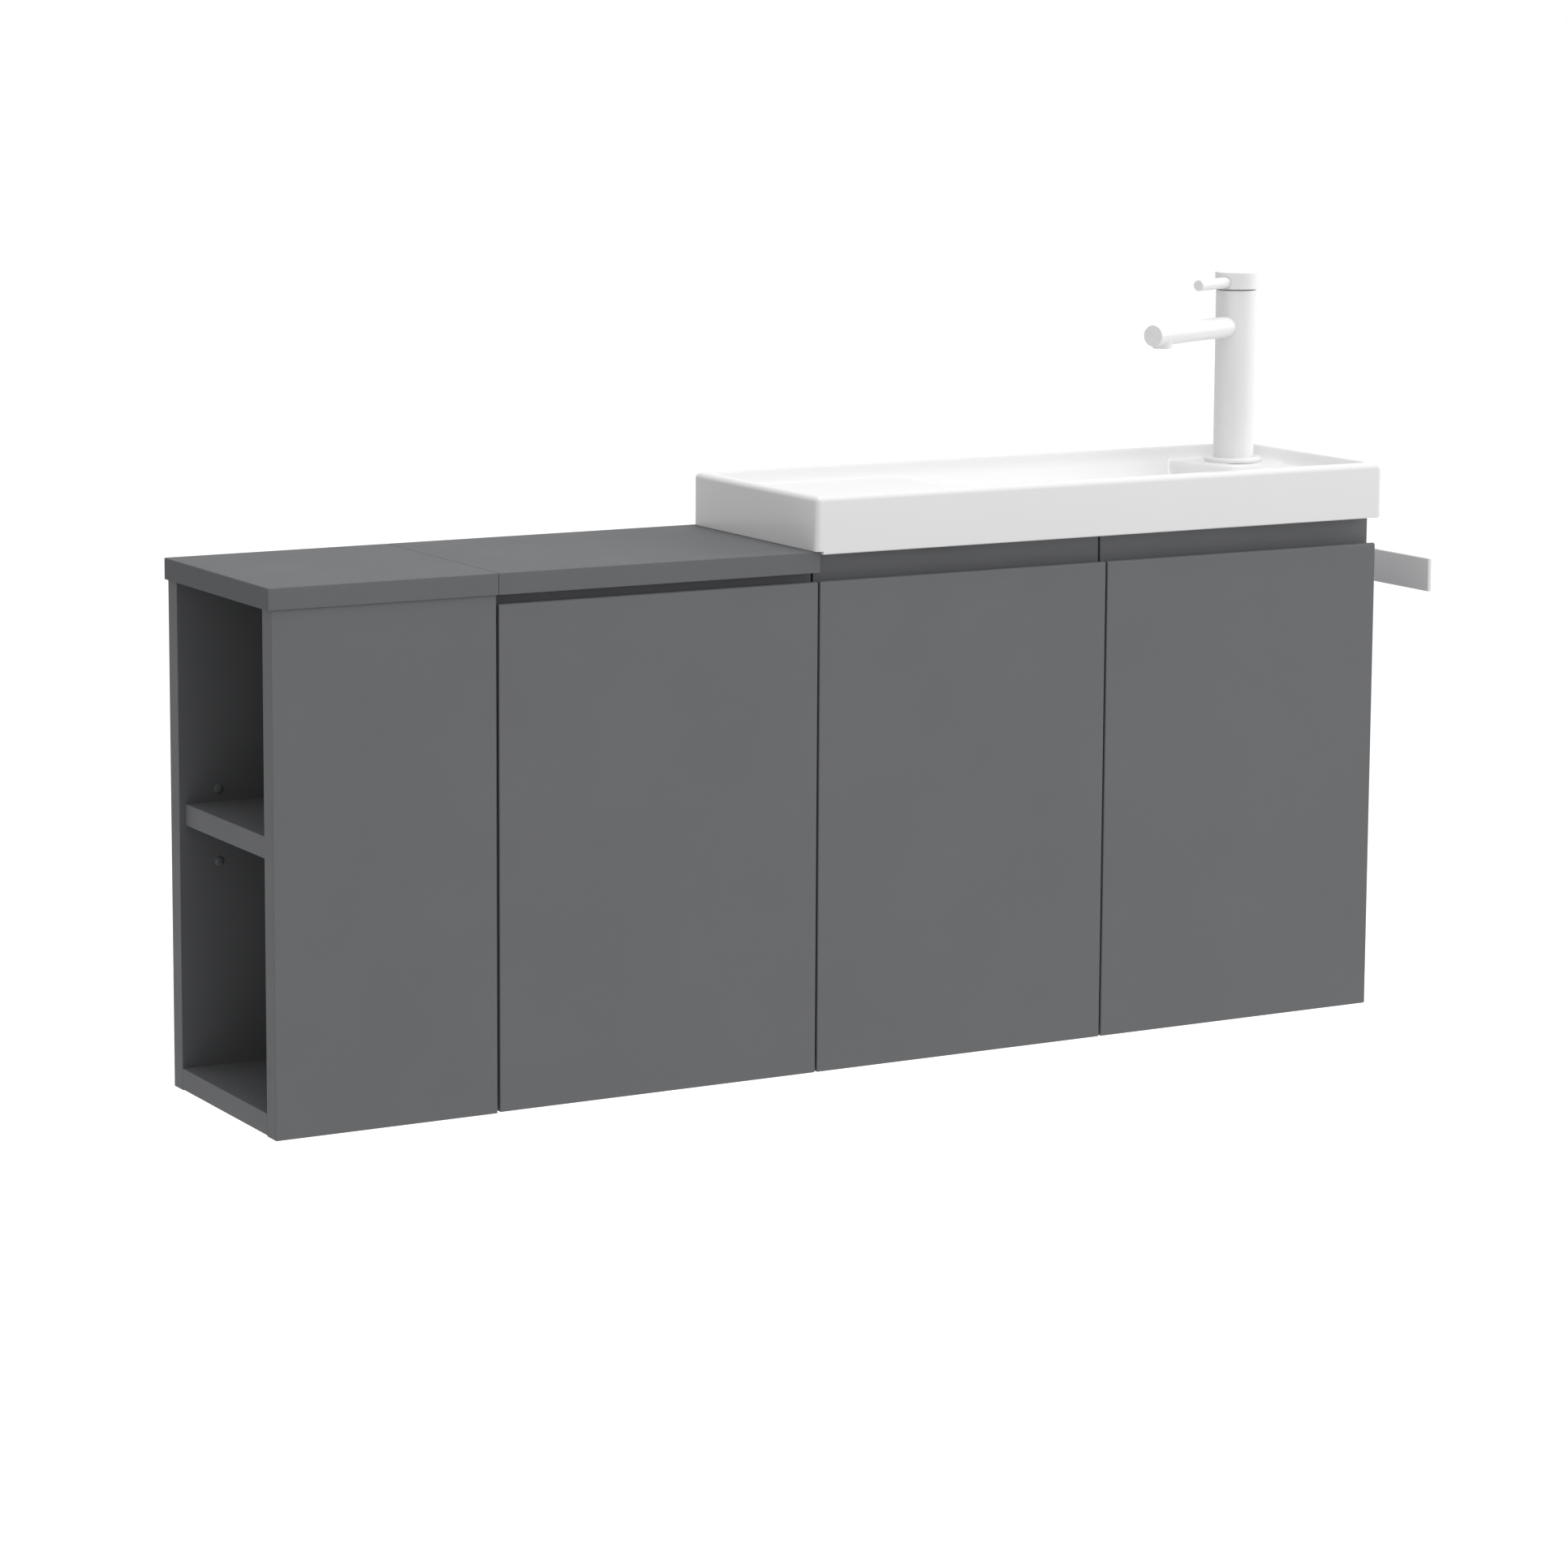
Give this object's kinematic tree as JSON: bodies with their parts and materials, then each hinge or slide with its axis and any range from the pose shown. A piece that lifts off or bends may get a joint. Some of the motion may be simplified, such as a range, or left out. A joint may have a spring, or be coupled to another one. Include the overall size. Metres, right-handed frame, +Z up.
{
  "type": "wall-hung vanity unit",
  "caption": "Wall-hung vanity unit: open shelf column, cupboard and two-door cabinet in matt grey, with a shallow ceramic washbasin, pillar tap and towel rail.",
  "frame": {"origin": "centre of the basin cabinet's two wall fixing holes, on the wall plane", "axes": "+X along the wall to the right as seen from the room, +Y into the wall, +Z up"},
  "size_m": [1.2035, 0.2285, 0.685],
  "materials": {
    "grey_lacquer": "matt grey lacquer on board",
    "grey_top": "matt grey lacquer on board",
    "white_ceramic": "glossy white glaze",
    "white_coating": "matt white coating on brass",
    "white_steel": "matt white powder coat on flat steel",
    "nickel_steel": "nickel-plated steel",
    "white_plastic": "white moulded plastic",
    "black_rubber": "black rubber",
    "clear_rubber": "clear soft plastic",
    "yellow_brass": "machined brass",
    "beech": "fluted beech"
  },
  "bodies": {
    "cabinets": {"column_front_panel": "grey_lacquer", "column_rear_panel": "grey_lacquer", "column_side_panel": "grey_lacquer", "column_bottom_panel": "grey_lacquer", "column_shelf": "grey_lacquer", "shelf_pins": "nickel_steel", "column_counter": "grey_top", "cupboard_left_side": "grey_lacquer", "cupboard_right_side": "grey_lacquer", "cupboard_bottom": "grey_lacquer", "cupboard_front_rail": "grey_lacquer", "cupboard_wall_rail": "grey_lacquer", "cupboard_rear_rail": "grey_lacquer", "cupboard_counter": "grey_top", "basin_left_side": "grey_lacquer", "basin_right_side": "grey_lacquer", "basin_bottom": "grey_lacquer", "basin_front_rail": "grey_lacquer", "basin_wall_rail": "grey_lacquer", "basin_rear_rail": "grey_lacquer", "dowels": "beech", "connector_sleeves": "nickel_steel", "connector_screws": "nickel_steel", "door_bumpers": "clear_rubber", "hinge_plates": "nickel_steel", "hinge_arms": "nickel_steel", "washbasin": "white_ceramic", "waste_body": "white_coating", "waste_gasket": "black_rubber", "waste_nut": "white_plastic", "trap_inlet_tube": "white_plastic", "trap_nuts": "white_plastic", "trap_body": "white_plastic", "trap_bottle": "white_plastic", "trap_outlet_tube": "white_plastic", "tap_foot": "white_coating", "tap_body": "white_coating", "tap_spout": "white_coating", "tap_aerator": "white_plastic", "tap_cartridge": "yellow_brass", "tap_inlet": "yellow_brass", "tap_gasket": "black_rubber", "tap_nut": "yellow_brass", "towel_rail": "white_steel", "rail_screws": "nickel_steel"},
    "cupboard_door": {"cupboard_door": "grey_lacquer", "cupboard_hinge_cups": "nickel_steel"},
    "left_door": {"basin_left_door": "grey_lacquer", "left_hinge_cups": "nickel_steel"},
    "right_door": {"basin_right_door": "grey_lacquer", "right_hinge_cups": "nickel_steel"},
    "tap_handle": {"tap_cap": "white_coating", "tap_lever": "white_coating", "tap_spindle": "yellow_brass"}
  },
  "joints": [
    {"name": "cupboard_door_hinge", "type": "hinge", "parent": "cabinets", "child": "cupboard_door", "pos_m": [-0.308, -0.219, -0.2], "axis": [0, 0, 1], "range_deg": [0, 90]},
    {"name": "left_door_hinge", "type": "hinge", "parent": "cabinets", "child": "left_door", "pos_m": [-0.294, -0.219, -0.2], "axis": [0, 0, -1], "range_deg": [0, 90]},
    {"name": "right_door_hinge", "type": "hinge", "parent": "cabinets", "child": "right_door", "pos_m": [0.294, -0.219, -0.2], "axis": [0, 0, 1], "range_deg": [0, 90]},
    {"name": "tap_handle_turn", "type": "hinge", "parent": "cabinets", "child": "tap_handle", "pos_m": [0.257, -0.0504, 0.25], "axis": [0, 0, 1], "range_deg": [0, 90]}
  ]
}
